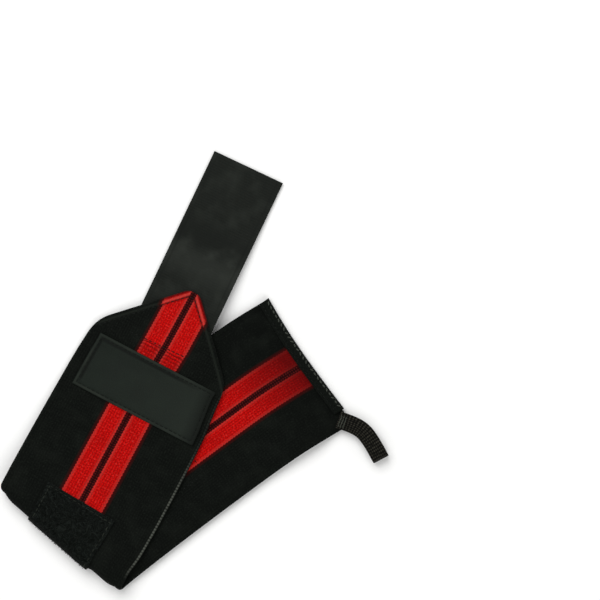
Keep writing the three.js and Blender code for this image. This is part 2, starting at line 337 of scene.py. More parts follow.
# Materials. Colours are sRGB hex.
def linear(hexColour):
    values = [int(hexColour[i : i + 2], 16) / 255 for i in (1, 3, 5)]
    return [v / 12.92 if v <= 0.04045 else ((v + 0.055) / 1.055) ** 2.4 for v in values] + [1]


# Adds a node with its settings and links, and gives back one of its outputs.
def node(tree, kind, sockets=(), output=0, **settings):
    made = tree.nodes.new("ShaderNode" + kind)
    for key, value in settings.items():
        setattr(made, key, value)
    for socket, source in sockets.items() if isinstance(sockets, dict) else enumerate(sockets):
        if isinstance(source, bpy.types.NodeSocket):
            tree.links.new(source, made.inputs[socket])
        else:
            made.inputs[socket].default_value = source
    return made.outputs[output]


# A new cloth and the millimetres of its flat pattern. Yarn in a cloth hides most of its own gloss
# in the gaps, so the specular level is far under a smooth plastic's.
def startCloth(name, roughness, gloss, sheen):
    material = bpy.data.materials.new(name)
    material.use_nodes = True
    tree = material.node_tree
    shader = tree.nodes["Principled BSDF"]
    shader.inputs["Roughness"].default_value = roughness
    shader.inputs["IOR"].default_value = 1.5  # nylon and polyester
    shader.inputs["Specular IOR Level"].default_value = gloss
    shader.inputs["Sheen Weight"].default_value = sheen
    shader.inputs["Sheen Roughness"].default_value = 0.5
    flat = node(tree, "UVMap", uv_map="pattern")
    flat = node(tree, "Mapping", {0: flat, 3: (100, 100, 100)})
    across = node(tree, "SeparateXYZ", [flat], 0)
    along = node(tree, "SeparateXYZ", [flat], 1)
    return material, tree, shader, flat, across, along


# Woven elastic webbing: textured polyester yarn over rubber, in fine lengthwise columns of V
# stitches. The yarn is matt with a slight bloom at grazing light. The red yarn shows on both faces.
webbing = {
    "black": "#0f120f",
    "blackDeep": "#080a08",
    "blackWornAndHighlight": "#20241f",
    "selvedge": "#50534c",
    "red": "#c90a08",
    "redDeep": "#8c0605",
    "redWornAndHighlight": "#c24a42",
    "redThroughAndShade": "#3e0405",  # red yarn that shows between the black ones beside a stripe, and the dark red of seam marks and painted shade on the stripes
    "gap": "#200405",
    "gapDots": "#551614",
    "column": 1.3,  # real columns are about 0.8 mm, too fine for the render
    "stitch": 1.5,
    "teeth": 0.4,
    "bulge": 0.9,  # the stripes are this much wider on the turned edge of the point
    "spread": 0.35,  # the red yarn spreads this far over the gap between the stripes
    "endShadeFrom": 39.0,  # painted shade darkens the webbing between these distances from the bound end
    "endShadeTo": 7.0,
    "relief": 0.12,
}


def wovenWebbing():
    material, tree, shader, flat, across, along = startCloth("wovenElasticWebbing", 0.85, 0.035, 0.02)
    patchy = node(tree, "TexNoise", {"Vector": flat, "Scale": 0.11, "Detail": 2.0})
    blotch = node(tree, "TexNoise", {"Vector": flat, "Scale": 0.3, "Detail": 2.0})
    lint = node(tree, "TexNoise", {"Vector": flat, "Scale": 1.1, "Detail": 3.0})
    wander = node(tree, "Math", [patchy, 3.0, -1.5], operation="MULTIPLY_ADD")
    wander = node(tree, "Math", [blotch, 1.6, wander], operation="MULTIPLY_ADD")

    # V stitches: each column's two halves lean against each other.
    column, stitch = webbing["column"], webbing["stitch"]
    fromGroove = node(tree, "Math", [across, column / 2], operation="PINGPONG")
    leaning = node(tree, "Math", [fromGroove, 1.1, along], operation="MULTIPLY_ADD")
    leaning = node(tree, "Math", [leaning, wander], operation="ADD")
    turn = node(tree, "Math", [leaning, 2 * math.pi / stitch], operation="MULTIPLY")
    wave = node(tree, "Math", [turn], operation="SINE")
    wave = node(tree, "MapRange", [wave, -1.0, 1.0, 0.55, 1.0])
    crown = node(tree, "MapRange", [fromGroove, 0.0, column * 0.32, 0.5, 1.0], interpolation_type="SMOOTHSTEP")
    height = node(tree, "Math", [crown, wave], operation="MULTIPLY")
    yarn = node(tree, "Math", [lint, 1.3, height], operation="MULTIPLY_ADD")
    # The colour is darker in the grooves between the yarns than on their crowns: painted shade of the weave, broken by
    # random lint.
    shade = node(tree, "MapRange", [yarn, 1.0, 1.7, 0.0, 1.0])

    # The pointed end: its edge is turned under and sewn down. A painted highlight along the turned edge stands for its
    # ridge catching the light, and painted shade lies on the rolled edge and, as a dark line, in the seam's groove
    # behind it.
    angle = math.radians(strap["tipAngle"])
    apex = strap["tipRadius"] - strap["tipRadius"] / math.sin(angle)
    side = node(tree, "Math", [across], operation="ABSOLUTE")
    fromPoint = node(tree, "Math", [along, math.sin(angle), -apex * math.sin(angle)], operation="MULTIPLY_ADD")
    inside = node(tree, "Math", [side, math.cos(angle)], operation="MULTIPLY")
    inside = node(tree, "Math", [fromPoint, inside], operation="SUBTRACT")
    turned = node(tree, "MapRange", [inside, 3.3, 2.7, 0.0, 1.0])
    fromRidge = node(tree, "Math", [inside, 2.0], operation="SUBTRACT")
    fromRidge = node(tree, "Math", [fromRidge], operation="ABSOLUTE")
    ridgeHighlight = node(tree, "MapRange", [fromRidge, 0.9, 0.3, 0.0, 1.0])
    rolledEdgeShade = node(tree, "MapRange", [inside, 1.5, 0.5, 0.0, 0.85])
    fromSeam = node(tree, "Math", [inside, 3.1], operation="SUBTRACT")
    fromSeam = node(tree, "Math", [fromSeam], operation="ABSOLUTE")
    seamGrooveShade = node(tree, "MapRange", [fromSeam, 0.8, 0.2, 0.0, 0.6])

    # A seam across where the tab ends below, and crosswise ribs from there to the label.
    wavering = node(tree, "Math", [blotch, 1.4, along], operation="MULTIPLY_ADD")
    fromTabEnd = node(tree, "Math", [wavering, hookTab["sewn"] + 1.4], operation="SUBTRACT")
    rib = node(tree, "Math", [fromTabEnd, 0.85], operation="PINGPONG")
    rib = node(tree, "MapRange", [rib, 0.65, 0.25, 0.0, 1.0])
    starts = node(tree, "MapRange", [fromTabEnd, -0.6, -0.3, 0.0, 1.0])
    fades = node(tree, "MapRange", [fromTabEnd, 0.5, 7.5, 0.62, 0.34])
    ends = node(tree, "MapRange", [fromTabEnd, 8.0, 7.5, 0.0, 1.0])
    ribs = node(tree, "Math", [rib, starts], operation="MULTIPLY")
    ribs = node(tree, "Math", [ribs, fades], operation="MULTIPLY")
    ribs = node(tree, "Math", [ribs, ends], operation="MULTIPLY")
    seamsAndShade = node(tree, "Math", [ribs, seamGrooveShade], operation="MAXIMUM")

    # The stripes: toothed by the stitches, and paler along both edges.
    far = strap["stripeGap"] / 2 + strap["stripeWidth"]
    near = strap["stripeGap"] / 2 - webbing["spread"]
    teeth = node(tree, "Math", [leaning, stitch / 2], operation="PINGPONG")
    teeth = node(tree, "Math", [teeth, 2 * webbing["teeth"] / stitch], operation="MULTIPLY")
    fromNear = node(tree, "Math", [side, near], operation="SUBTRACT")
    fromFar = node(tree, "Math", [turned, webbing["bulge"], far], operation="MULTIPLY_ADD")
    fromFar = node(tree, "Math", [fromFar, side], operation="SUBTRACT")
    fromEdge = node(tree, "Math", [fromNear, fromFar], operation="MINIMUM")
    toothed = node(tree, "Math", [fromEdge, teeth], operation="SUBTRACT")
    stripe = node(tree, "MapRange", [toothed, -0.3, 0.15, 0.0, 1.0])
    edging = node(tree, "MapRange", [toothed, 1.6, 0.2, 0.0, 0.3])

    # Red yarn comes through beside a stripe. Between the stripes it makes two columns of dots.
    beside = node(tree, "MapRange", [fromFar, -1.9, 0.0, 0.0, 0.85])
    fromDots = node(tree, "Math", [side, near * 0.5], operation="SUBTRACT")
    fromDots = node(tree, "Math", [fromDots], operation="ABSOLUTE")
    fromDots = node(tree, "MapRange", [fromDots, 0.55, 0.15, 0.0, 1.0])
    dots = node(tree, "Math", [along, 0.6], operation="PINGPONG")
    dots = node(tree, "Math", [lint, 1.3, dots], operation="MULTIPLY_ADD")
    dots = node(tree, "MapRange", [dots, 0.85, 1.25, 0.0, 1.0])
    dots = node(tree, "Math", [dots, fromDots], operation="MULTIPLY")
    between = node(tree, "MapRange", [fromNear, 0.1, -0.3, 0.0, 1.0])

    # Along one selvedge, up to the fold, a painted highlight in dots stands for the light that the raised yarn there
    # catches.
    fromSelvedge = node(tree, "Math", [across, half - 0.75], operation="SUBTRACT")
    fromSelvedge = node(tree, "Math", [fromSelvedge], operation="ABSOLUTE")
    selvedge = node(tree, "MapRange", [fromSelvedge, 0.65, 0.3, 0.0, 1.0])
    lit = node(tree, "Math", [along, 0.75], operation="PINGPONG")
    lit = node(tree, "Math", [blotch, 1.0, lit], operation="MULTIPLY_ADD")
    lit = node(tree, "MapRange", [lit, 0.5, 1.2, 0.15, 1.0])
    selvedge = node(tree, "Math", [selvedge, lit], operation="MULTIPLY")
    behindLabel = node(tree, "MapRange", [along, 66.0, 90.0, 0.15, 1.0])
    beforeFold = node(tree, "MapRange", [along, lay["foldAt"], lay["foldAt"] - 8, 0.0, 1.0])
    selvedge = node(tree, "Math", [selvedge, behindLabel], operation="MULTIPLY")
    selvedge = node(tree, "Math", [selvedge, beforeFold], operation="MULTIPLY")
    fluff = node(tree, "MapRange", [lint, 0.55, 0.85, 0.0, 0.6])
    aired = node(tree, "MapRange", [patchy, 0.45, 0.75, 0.0, 0.2])
    pale = node(tree, "Math", [ridgeHighlight, 0.45, fluff], operation="MULTIPLY_ADD")

    # Painted shade darkens the webbing towards the bound end.
    length = strap["length"]
    tilted = node(tree, "Math", [across, -0.25, along], operation="MULTIPLY_ADD")
    boundEndShade = node(tree, "MapRange", [tilted, length - webbing["endShadeFrom"], length - webbing["endShadeTo"], 0.0, 0.82])

    black = {0: shade, 6: linear(webbing["blackDeep"]), 7: linear(webbing["black"])}
    black = node(tree, "Mix", black, 2, data_type="RGBA")
    # Painted shade towards the bound end.
    black = node(tree, "Mix", {0: boundEndShade, 6: black, 7: linear(webbing["blackDeep"])}, 2, data_type="RGBA")
    # Paler black from random patches and lint, and from the painted highlight on the pointed end's ridge.
    worn = node(tree, "Math", [aired, fluff], operation="ADD")
    worn = node(tree, "Math", [ridgeHighlight, 0.5, worn], operation="MULTIPLY_ADD")
    black = node(tree, "Mix", {0: worn, 6: black, 7: linear(webbing["blackWornAndHighlight"])}, 2, data_type="RGBA")
    # The painted highlight along the selvedge.
    black = node(tree, "Mix", {0: selvedge, 6: black, 7: linear(webbing["selvedge"])}, 2, data_type="RGBA")
    black = node(tree, "Mix", {0: beside, 6: black, 7: linear(webbing["redThroughAndShade"])}, 2, data_type="RGBA")
    dotted = {0: dots, 6: linear(webbing["gap"]), 7: linear(webbing["gapDots"])}
    dotted = node(tree, "Mix", dotted, 2, data_type="RGBA")
    black = node(tree, "Mix", {0: between, 6: black, 7: dotted}, 2, data_type="RGBA")

    red = {0: shade, 6: linear(webbing["redDeep"]), 7: linear(webbing["red"])}
    red = node(tree, "Mix", red, 2, data_type="RGBA")
    deeper = node(tree, "MapRange", [patchy, 0.42, 0.7, 0.0, 0.4])
    pointed = node(tree, "MapRange", [along, 13.0, 3.0, 0.0, 0.5])
    deeper = node(tree, "Math", [deeper, pointed], operation="MAXIMUM")
    red = node(tree, "Mix", {0: deeper, 6: red, 7: linear(webbing["redDeep"])}, 2, data_type="RGBA")
    # Paler red from lint and along the stripes' edges, and from the painted highlight on the pointed end's ridge.
    pale = node(tree, "Math", [pale, edging], operation="MAXIMUM")
    red = node(tree, "Mix", {0: pale, 6: red, 7: linear(webbing["redWornAndHighlight"])}, 2, data_type="RGBA")
    # Dark red over the tab's seam and ribs, and as painted shade in the seam's groove, on the rolled edge and towards
    # the bound end.
    seamsAndShade = node(tree, "Math", [rolledEdgeShade, seamsAndShade], operation="MAXIMUM")
    seamsAndShade = node(tree, "Math", [boundEndShade, seamsAndShade], operation="MAXIMUM")
    red = node(tree, "Mix", {0: seamsAndShade, 6: red, 7: linear(webbing["redThroughAndShade"])}, 2, data_type="RGBA")
    colour = node(tree, "Mix", {0: stripe, 6: black, 7: red}, 2, data_type="RGBA")
    tree.links.new(colour, shader.inputs["Base Color"])

    uneven = node(tree, "MapRange", [lint, 0.3, 0.7, 0.75, 0.95])
    tree.links.new(uneven, shader.inputs["Roughness"])
    bumps = node(tree, "Math", [lint, 0.6, height], operation="MULTIPLY_ADD")
    bumps = node(tree, "Bump", {"Height": bumps, "Distance": webbing["relief"] * millimetre})
    tree.links.new(bumps, shader.inputs["Normal"])
    return material


# Hook and loop tape: nylon, woven close and flat on its back, with a dull gloss.
tape = {
    "base": "#1a1d19",
    "deep": "#121512",
    # paler random patches, and the painted highlight band
    "worn": "#2a2d29",
    "rib": 1.3,  # real picks are about 0.5 mm apart
    "lineIn": 2.5,
    "shadedBand": -27.0,  # a painted shade band across the tape
    "raised": -14.0,  # a painted highlight band across the tape
    "relief": 0.045,
}


def wovenTape():
    material, tree, shader, flat, across, along = startCloth("wovenNylonTape", 0.7, 0.07, 0.03)
    patchy = node(tree, "TexNoise", {"Vector": flat, "Scale": 0.1, "Detail": 3.0})
    fine = node(tree, "TexNoise", {"Vector": flat, "Scale": 1.6, "Detail": 3.0})
    ribs = node(tree, "Math", [along, 2 * math.pi / tape["rib"]], operation="MULTIPLY")
    ribs = node(tree, "Math", [ribs], operation="SINE")
    height = node(tree, "Math", [ribs, 0.11, fine], operation="MULTIPLY_ADD")

    # A line along each side, where the weave changes to the plain margin.
    line = node(tree, "Math", [across], operation="ABSOLUTE")
    line = node(tree, "Math", [line, hookTab["width"] / 2 - tape["lineIn"]], operation="SUBTRACT")
    line = node(tree, "Math", [line], operation="ABSOLUTE")
    line = node(tree, "MapRange", [line, 0.7, 0.15, 0.0, 1.0])

    shade = node(tree, "MapRange", [height, 0.25, 0.75, 0.0, 1.0])
    colour = {0: shade, 6: linear(tape["deep"]), 7: linear(tape["base"])}
    colour = node(tree, "Mix", colour, 2, data_type="RGBA")
    # A painted highlight band and a painted shade band run across the tape, for light on its uneven surface.
    wavy = node(tree, "Math", [patchy, 14.0, along], operation="MULTIPLY_ADD")
    raised = node(tree, "Math", [wavy, 7.0 - tape["raised"] - 14.0], operation="ADD")
    raised = node(tree, "Math", [raised], operation="ABSOLUTE")
    raised = node(tree, "MapRange", [raised, 11.0, 3.0, 0.0, 0.5])
    paling = node(tree, "MapRange", [patchy, 0.45, 0.7, 0.0, 0.5])
    paling = node(tree, "Math", [paling, raised], operation="ADD")
    colour = node(tree, "Mix", {0: paling, 6: colour, 7: linear(tape["worn"])}, 2, data_type="RGBA")
    shadedBand = node(tree, "Math", [wavy, 7.0 - tape["shadedBand"] - 14.0], operation="ADD")
    shadedBand = node(tree, "Math", [shadedBand], operation="ABSOLUTE")
    shadedBand = node(tree, "MapRange", [shadedBand, 8.0, 2.0, 0.0, 0.6])
    # Darker: the lines along the sides, and the painted shade band.
    dark = node(tree, "Math", [line, 0.35, shadedBand], operation="MULTIPLY_ADD")
    colour = node(tree, "Mix", {0: dark, 6: colour, 7: linear(tape["deep"])}, 2, data_type="RGBA")
    tree.links.new(colour, shader.inputs["Base Color"])
    uneven = node(tree, "MapRange", [patchy, 0.3, 0.7, 0.62, 0.78])
    tree.links.new(uneven, shader.inputs["Roughness"])
    height = node(tree, "Math", [line, -1.0, height], operation="MULTIPLY_ADD")
    bumps = node(tree, "Bump", {"Height": height, "Distance": tape["relief"] * millimetre})
    tree.links.new(bumps, shader.inputs["Normal"])
    return material


# Woven label: polyester satin, smoother and a little glossier than the webbing, with nothing on it.
satin = {
    "base": "#1a201b",
    "deep": "#151a16",
    "worn": "#262b26",
    "rimHighlight": "#2a2e28",  # painted highlight along the folded edge
    "seamsAndShade": "#090b09",  # painted shade along the border stitching and over the label's end
    "twill": 0.9,  # real twill lines are about 0.4 mm apart
    "rimIn": 0.8,
    "rimFadeFrom": 12.0,  # between these the painted highlight on the folded edge and the painted shade along the stitching fade out, and from near the second on painted shade darkens the label's end
    "rimFadeTo": 27.0,
    "relief": 0.03,
}


def wovenSatin():
    material, tree, shader, flat, across, along = startCloth("wovenSatinLabel", 0.6, 0.045, 0.02)
    patchy = node(tree, "TexNoise", {"Vector": flat, "Scale": 0.1, "Detail": 2.0})
    fine = node(tree, "TexNoise", {"Vector": flat, "Scale": 2.0, "Detail": 3.0})
    twill = node(tree, "Math", [across, along], operation="ADD")
    twill = node(tree, "Math", [twill, 2 * math.pi / satin["twill"]], operation="MULTIPLY")
    twill = node(tree, "Math", [twill], operation="SINE")
    height = node(tree, "Math", [twill, 0.3, fine], operation="MULTIPLY_ADD")

    fromSide = node(tree, "Math", [across], operation="ABSOLUTE")
    fromSide = node(tree, "Math", [label["width"] / 2, fromSide], operation="SUBTRACT")
    fromTop = node(tree, "Math", [along, label["fromTip"]], operation="SUBTRACT")
    fromEnd = node(tree, "Math", [label["length"], fromTop], operation="SUBTRACT")
    inside = node(tree, "Math", [fromSide, fromTop], operation="MINIMUM")
    allRound = node(tree, "Math", [inside, fromEnd], operation="MINIMUM")
    # A painted highlight along the folded edge, broken up at random.
    rimHighlight = node(tree, "Math", [allRound, satin["rimIn"]], operation="SUBTRACT")
    rimHighlight = node(tree, "Math", [rimHighlight], operation="ABSOLUTE")
    rimHighlight = node(tree, "MapRange", [rimHighlight, 0.75, 0.1, 0.0, 0.7])
    rimPatchiness = node(tree, "MapRange", [patchy, 0.35, 0.65, 0.15, 1.0])
    rimHighlight = node(tree, "Math", [rimHighlight, rimPatchiness], operation="MULTIPLY")
    rimKept = node(tree, "MapRange", [across, satin["rimFadeFrom"], satin["rimFadeTo"], 1.0, 0.1])
    rimHighlight = node(tree, "Math", [rimHighlight, rimKept], operation="MULTIPLY")
    # Painted shade along the border stitching, and painted shade over the label's end.
    seamsAndShade = node(tree, "Math", [inside, satin["rimIn"] + 1.6], operation="SUBTRACT")
    seamsAndShade = node(tree, "Math", [seamsAndShade], operation="ABSOLUTE")
    seamsAndShade = node(tree, "MapRange", [seamsAndShade, 1.1, 0.2, 0.0, 0.75])
    stitchShadeHere = node(tree, "MapRange", [fromEnd, 2.0, 5.0, 0.0, 1.0])
    seamsAndShade = node(tree, "Math", [seamsAndShade, stitchShadeHere], operation="MULTIPLY")
    seamsAndShade = node(tree, "Math", [seamsAndShade, rimKept], operation="MULTIPLY")
    labelEndShade = node(tree, "MapRange", [across, satin["rimFadeTo"] - 2.0, label["width"] / 2, 0.0, 0.75])
    seamsAndShade = node(tree, "Math", [seamsAndShade, labelEndShade], operation="MAXIMUM")

    shade = node(tree, "MapRange", [patchy, 0.35, 0.7, 0.0, 1.0])
    colour = {0: shade, 6: linear(satin["deep"]), 7: linear(satin["base"])}
    colour = node(tree, "Mix", colour, 2, data_type="RGBA")
    grain = node(tree, "MapRange", [fine, 0.45, 0.8, 0.0, 0.4])
    paling = node(tree, "MapRange", [across, -30.0, 30.0, 0.0, 0.5])
    paling = node(tree, "Math", [paling, grain], operation="ADD")
    colour = node(tree, "Mix", {0: paling, 6: colour, 7: linear(satin["worn"])}, 2, data_type="RGBA")
    colour = node(tree, "Mix", {0: rimHighlight, 6: colour, 7: linear(satin["rimHighlight"])}, 2, data_type="RGBA")
    colour = node(tree, "Mix", {0: seamsAndShade, 6: colour, 7: linear(satin["seamsAndShade"])}, 2, data_type="RGBA")
    tree.links.new(colour, shader.inputs["Base Color"])
    uneven = node(tree, "MapRange", [patchy, 0.3, 0.7, 0.52, 0.68])
    tree.links.new(uneven, shader.inputs["Roughness"])
    bumps = node(tree, "Bump", {"Height": height, "Distance": satin["relief"] * millimetre})
    tree.links.new(bumps, shader.inputs["Normal"])
    return material


# Loop pile and binding tape: crimped nylon and polyester yarn, matt and a little fuzzy. streak is
# how far the pile is combed into faint bands.
def yarnCloth(name, deep, base, worn, grain, roughness, relief, streak=0.0):
    material, tree, shader, flat, across, along = startCloth(name, roughness, 0.035, 0.03)
    speckle = node(tree, "TexNoise", {"Vector": flat, "Scale": 1 / grain, "Detail": 4.0})
    fine = node(tree, "TexNoise", {"Vector": flat, "Scale": 3 / grain, "Detail": 2.0})
    shade = node(tree, "MapRange", [speckle, 0.38, 0.6, 0.0, 1.0])
    colour = {0: shade, 6: linear(deep), 7: linear(base)}
    colour = node(tree, "Mix", colour, 2, data_type="RGBA")
    combed = node(tree, "TexNoise", {"Vector": flat, "Scale": 0.16, "Detail": 2.0, "Distortion": 1.2})
    combed = node(tree, "Math", [combed, 0.06], operation="PINGPONG")
    combed = node(tree, "MapRange", [combed, 0.04, 0.06, 0.0, streak])
    fluff = node(tree, "MapRange", [fine, 0.52, 0.78, 0.0, 0.9])
    fluff = node(tree, "Math", [fluff, combed], operation="ADD")
    colour = node(tree, "Mix", {0: fluff, 6: colour, 7: linear(worn)}, 2, data_type="RGBA")
    tree.links.new(colour, shader.inputs["Base Color"])
    height = node(tree, "Math", [speckle, fine], operation="ADD")
    bumps = node(tree, "Bump", {"Height": height, "Distance": relief * millimetre})
    tree.links.new(bumps, shader.inputs["Normal"])
    return material


# Braided elastic: polyester yarns that cross over rubber, matt.
braid = {
    "deep": "#080807",
    "base": "#0f0f0c",
    "worn": "#3c3a32",
    "pitch": 1.5,  # real crossings are about 1 mm apart
    "relief": 0.12,
}


def braidedElastic():
    material, tree, shader, flat, across, along = startCloth("braidedElastic", 0.85, 0.035, 0.03)
    speckle = node(tree, "TexNoise", {"Vector": flat, "Scale": 0.9, "Detail": 3.0})
    crossings = []
    for way in (1.0, -1.0):
        leaning = node(tree, "Math", [across, 1.5 * way, along], operation="MULTIPLY_ADD")
        leaning = node(tree, "Math", [leaning, math.pi / braid["pitch"]], operation="MULTIPLY")
        crossings.append(node(tree, "Math", [leaning], operation="SINE"))
    height = node(tree, "Math", crossings, operation="MULTIPLY")
    shade = node(tree, "Math", [speckle, 3.0, height], operation="MULTIPLY_ADD")
    dark = node(tree, "MapRange", [shade, 0.9, 1.7, 0.0, 1.0])
    colour = {0: dark, 6: linear(braid["deep"]), 7: linear(braid["base"])}
    colour = node(tree, "Mix", colour, 2, data_type="RGBA")
    pale = node(tree, "MapRange", [shade, 1.6, 2.5, 0.0, 0.8])
    colour = node(tree, "Mix", {0: pale, 6: colour, 7: linear(braid["worn"])}, 2, data_type="RGBA")
    tree.links.new(colour, shader.inputs["Base Color"])
    bumps = node(tree, "Bump", {"Height": shade, "Distance": braid["relief"] * millimetre})
    tree.links.new(bumps, shader.inputs["Normal"])
    return material


# Polyester sewing thread, twisted, and moulded nylon hooks: a slight gloss.
def sewingThread(name, base, worn):
    material = bpy.data.materials.new(name)
    material.use_nodes = True
    tree = material.node_tree
    shader = tree.nodes["Principled BSDF"]
    shader.inputs["Roughness"].default_value = 0.5
    shader.inputs["IOR"].default_value = 1.54
    shader.inputs["Specular IOR Level"].default_value = 0.06
    where = node(tree, "TexCoord", output=3)
    twist = node(tree, "TexWave", {"Vector": where, "Scale": 500.0, "Distortion": 1.0}, 1)
    colour = node(tree, "Mix", {0: twist, 6: linear(base), 7: linear(worn)}, 2, data_type="RGBA")
    tree.links.new(colour, shader.inputs["Base Color"])
    return material


materials = {
    "webbing": wovenWebbing(),
    "tape": wovenTape(),
    "satin": wovenSatin(),
    "pile": yarnCloth("crimpedNylonPile", "#050705", "#0c0f0d", "#1e221f", 1.6, 0.9, 0.2, streak=0.8),
    "binding": yarnCloth("polyesterBindingTape", "#060806", "#0d100d", "#1b1f1a", 0.9, 0.8, 0.12),
    "elastic": braidedElastic(),
    "thread": sewingThread("blackSewingThread", "#0b0d0b", "#181b18"),
    "dimThread": sewingThread("charcoalSewingThread", "#171a16", "#2a2e27"),
    "paleThread": sewingThread("greySewingThread", "#2a2d28", "#4a4e46"),
    "hooks": sewingThread("nylonHooks", "#141615", "#242826"),
}
print("made materials")


# The strap: the pointed end, then the full width to the bound end.
def pointedEnd():
    angle = math.radians(strap["tipAngle"])
    apex = strap["tipRadius"] - strap["tipRadius"] / math.sin(angle)
    shoulder = apex + half / math.tan(angle) + strap["cornerRadius"] * math.tan(angle / 2)
    return {
        "apex": apex,
        "shoulder": shoulder,
        "slope": math.tan(angle),
        "angle": angle,
        "roundEnd": strap["tipRadius"] * (1 - math.sin(angle)),
        "cornerStart": shoulder - strap["cornerRadius"] * math.sin(angle),
    }


tip = pointedEnd()


def halfWidth(along):
    if along < tip["roundEnd"]:
        return math.sqrt(max(0, strap["tipRadius"] ** 2 - (strap["tipRadius"] - along) ** 2))
    if along < tip["cornerStart"]:
        return (along - tip["apex"]) * tip["slope"]
    if along < tip["shoulder"]:
        radius = strap["cornerRadius"]
        return half - radius + math.sqrt(radius**2 - (tip["shoulder"] - along) ** 2)
    return half


# How far a point is in from the pointed end's edge.
def inFromPoint(across, along):
    side = abs(across)
    foot = (along - tip["apex"]) * math.cos(tip["angle"]) + side * math.sin(tip["angle"])
    if foot < strap["tipRadius"] / tip["slope"]:
        return strap["tipRadius"] - math.hypot(across, along - strap["tipRadius"])
    return (along - tip["apex"]) * math.sin(tip["angle"]) - side * math.cos(tip["angle"])


stripeNear = strap["stripeGap"] / 2
stripeFar = stripeNear + strap["stripeWidth"]
insets = [5.0, 4.2, 3.7, 3.3, 2.9, 2.4, 2.0, 1.7, 1.4, 1.1, 0.8, 0.5, 0.25, 0.08, 0.0]
fixedColumns = (
    [0, stripeNear / 2, stripeNear, stripeNear + 0.35]
    + spaced(stripeNear + 0.35, stripeFar - 0.35, strap["columnStep"])[1:]
    + spaced(stripeFar, half - strap["fieldIn"], strap["columnStep"])[:-1]
)


# Near the pointed end its edge pushes the columns inwards.
def strapColumns(along):
    edge = halfWidth(along)
    squeeze = min(1, edge / (2 * strap["fieldIn"]))
    found = fixedColumns + [edge - inset * squeeze for inset in insets]
    least = min(0.06, edge / (2 * len(found)))
    for i in range(len(found) - 2, -1, -1):
        found[i] = min(found[i], found[i + 1] - least)
    found[0] = 0
    return [-value for value in found[:0:-1]] + found


# Half the strap's thickness: the stripes stand proud, and a rounded rib runs along each selvedge.
def strapHalfThick(across, along):
    side = abs(across)
    inward = half - side
    thick = strap["thick"] / 2
    onStripe = smooth(side, stripeNear, stripeNear + 0.35) * (1 - smooth(side, stripeFar - 0.35, stripeFar))
    thick += strap["stripeRaise"] * onStripe
    thick += 0.12 * bump(inward, strap["beadIn"], 0.8) - 0.2 * bump(inward, strap["grooveIn"], 0.5)
    inPoint = inFromPoint(across, along)
    if inPoint < 14:
        thick += 0.14 * (1 - smooth(inPoint, 3.2, strap["turnedUnder"] + 3))
        thick -= 0.4 * bump(inPoint, 3.0, 0.55)
        thick -= 0.22 * bump(along, hookTab["sewn"], 0.5)
    edge = min(inward, inPoint)
    rounding = 1 - (1 - min(max(edge, 0) / 1.0, 1)) ** 2
    return max(0.3, thick * math.sqrt(max(rounding, 0.03)))


def strapTop(across, along):
    return strapHalfThick(across, along)


def strapBottom(across, along):
    return -strapHalfThick(across, along)


def endCurve(across):
    hollow = strap["endHollow"] if across < 0 else strap["endHollowByLoop"]
    return hollow * (across / half) ** 2


def makeStrap():
    first = tip["roundEnd"] / 30
    rows = (
        spaced(first, tip["roundEnd"], 0.35)
        + spaced(tip["roundEnd"], tip["shoulder"], 0.9)[1:]
        + stations(tip["shoulder"], strap["length"], strap["rowStep"])[1:]
    )
    bm = cutSheet(rows, strapColumns, fade=half)
    for vert in bm.verts:
        share = smooth(vert.co.y, strap["length"] - half, strap["length"])
        vert.co.y += endCurve(vert.co.x) * share
    thicken(bm, strapBottom, strapTop)
    keepPattern(bm)
    foldUp(bm)
    return bm


strapMesh = makeStrap()
corners = [
    Vector([f(v.co[i] for v in strapMesh.verts) for i in range(3)]) for f in (min, max)
]
origin = ((low + high) / millimetre - corners[0] - corners[1]) / 2
origin.z = 0
strapPiece = finishPiece(strapMesh, "elasticStrap", materials["webbing"], "elastic_strap")


# A turned rectangle of cloth on the pattern. around maps its own x and y to the pattern.
def turnAbout(turn, aside, pivot):
    angle = math.radians(turn)

    def around(x, y):
        across = aside + (y - pivot) * math.sin(angle) + x * math.cos(angle)
        along = pivot + (y - pivot) * math.cos(angle) - x * math.sin(angle)
        return across, along

    return around


def laidOn(around):
    def mapping(x, y, out):
        across, along = around(x, y)
        return place(across, along, out)

    return mapping


# Copies the one shape in a bmesh to every matrix, by doubling what is there.
def repeat(bm, matrices):
    number = bm.verts.layers.int.new("copy")
    made = 1
    while made < len(matrices):
        wanted = len(matrices) - made
        verts = [v for v in bm.verts if v[number] < wanted]
        kept = set(verts)
        geom = verts + [e for e in bm.edges if e.verts[0] in kept] + [f for f in bm.faces if f.verts[0] in kept]
        for item in bmesh.ops.duplicate(bm, geom=geom)["geom"]:
            if isinstance(item, bmesh.types.BMVert):
                item[number] += made
        made = min(2 * made, len(matrices))
    for vert in bm.verts:
        vert.co = matrices[vert[number]] @ vert.co


# A bent wire: a small ring that is pushed along step by step. Each step is a shift.
def bentWire(sides, radius, steps):
    bm = bmesh.new()
    ring = bmesh.ops.create_circle(bm, cap_ends=True, segments=sides, radius=radius)["verts"]
    edges = list({e for v in ring for e in v.link_edges})
    for step in steps:
        grown = bmesh.ops.extrude_edge_only(bm, edges=edges)["geom"]
        edges = [g for g in grown if isinstance(g, bmesh.types.BMEdge)]
        bmesh.ops.translate(bm, verts=[g for g in grown if isinstance(g, bmesh.types.BMVert)], vec=step)
    bmesh.ops.edgeloop_fill(bm, edges=edges)
    return bm


